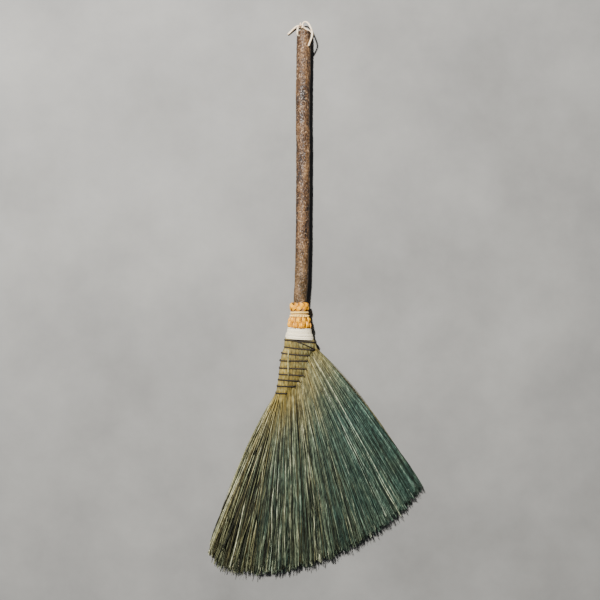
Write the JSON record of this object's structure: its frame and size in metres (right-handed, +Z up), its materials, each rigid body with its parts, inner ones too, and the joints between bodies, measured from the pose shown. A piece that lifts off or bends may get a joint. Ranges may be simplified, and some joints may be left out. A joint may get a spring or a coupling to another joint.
{
  "type": "hand broom",
  "caption": "Hand-tied broom with a natural stick handle, a one-sided fan of dyed broomcorn and a leather hanging thong.",
  "frame": {"origin": "middle of the broom's footprint, without its thong, on the face that it lies on", "axes": "+Z up from the face that it lies on, +Y along the stick to its hanging end, +X towards the side that the brush flares to"},
  "size_m": [0.3688, 0.9562, 0.0367],
  "materials": {
    "bark": "natural mid-brown bark, lightly oiled, mottled",
    "nail_steel": "plain wire nail",
    "straw_stalks": "dry plant stalks",
    "orange_stalks": "dyed plaited stalks, slightly waxy",
    "tan_cord": "waxed natural cord",
    "white_cord": "off-white cotton cord",
    "black_twine": "black waxed twine",
    "broomcorn_teal": "dry broomcorn fibre dyed deep teal",
    "broomcorn_olive": "dry broomcorn fibre dyed olive green",
    "broomcorn_straw": "dry broomcorn fibre, straw and brown with a little green dye",
    "leather_lace": "undyed leather lace"
  },
  "bodies": {
    "broom": {"handle_stick": "bark", "anchor_nail": "nail_steel", "inner_stalks": "straw_stalks", "inner_tie": "tan_cord", "outer_stalks": "straw_stalks", "upper_stalk_plait": "orange_stalks", "waist_cord": "tan_cord", "lower_stalk_plait": "orange_stalks", "white_binding": "white_cord", "twine_row_1": "black_twine", "twine_row_2": "black_twine", "twine_row_3": "black_twine", "twine_row_4": "black_twine", "twine_row_5": "black_twine", "twine_row_6": "black_twine", "twine_row_7": "black_twine", "twine_row_8": "black_twine", "twine_row_9": "black_twine", "broomcorn_bundle_1": "broomcorn_teal", "broomcorn_bundle_2": "broomcorn_teal", "broomcorn_bundle_3": "broomcorn_teal", "broomcorn_bundle_4": "broomcorn_teal", "broomcorn_bundle_5": "broomcorn_olive", "broomcorn_bundle_6": "broomcorn_olive", "broomcorn_bundle_7": "broomcorn_olive", "broomcorn_bundle_8": "broomcorn_olive", "broomcorn_bundle_9": "broomcorn_straw", "broomcorn_bundle_10": "broomcorn_straw", "broomcorn_bundle_11": "broomcorn_straw"},
    "thong": {"thong_loop": "leather_lace", "thong_knot": "leather_lace", "thong_short_end": "leather_lace"},
    "thong_end": {"thong_long_end": "leather_lace"}
  },
  "joints": [
    {"name": "thong_swing", "type": "hinge", "parent": "broom", "child": "thong", "pos_m": [-0.0203, 0.4585, 0.0137], "axis": [0.7431, 0, -0.6691], "range_deg": [0, 150]},
    {"name": "thong_end_hang", "type": "hinge", "parent": "thong", "child": "thong_end", "pos_m": [-0.0246, 0.48, 0.0075], "axis": [0.7431, 0, -0.6691], "range_deg": [-150, 0]}
  ],
  "couplings": [
    {"joint": "thong_end_hang", "follows": "thong_swing", "ratio": -1}
  ]
}
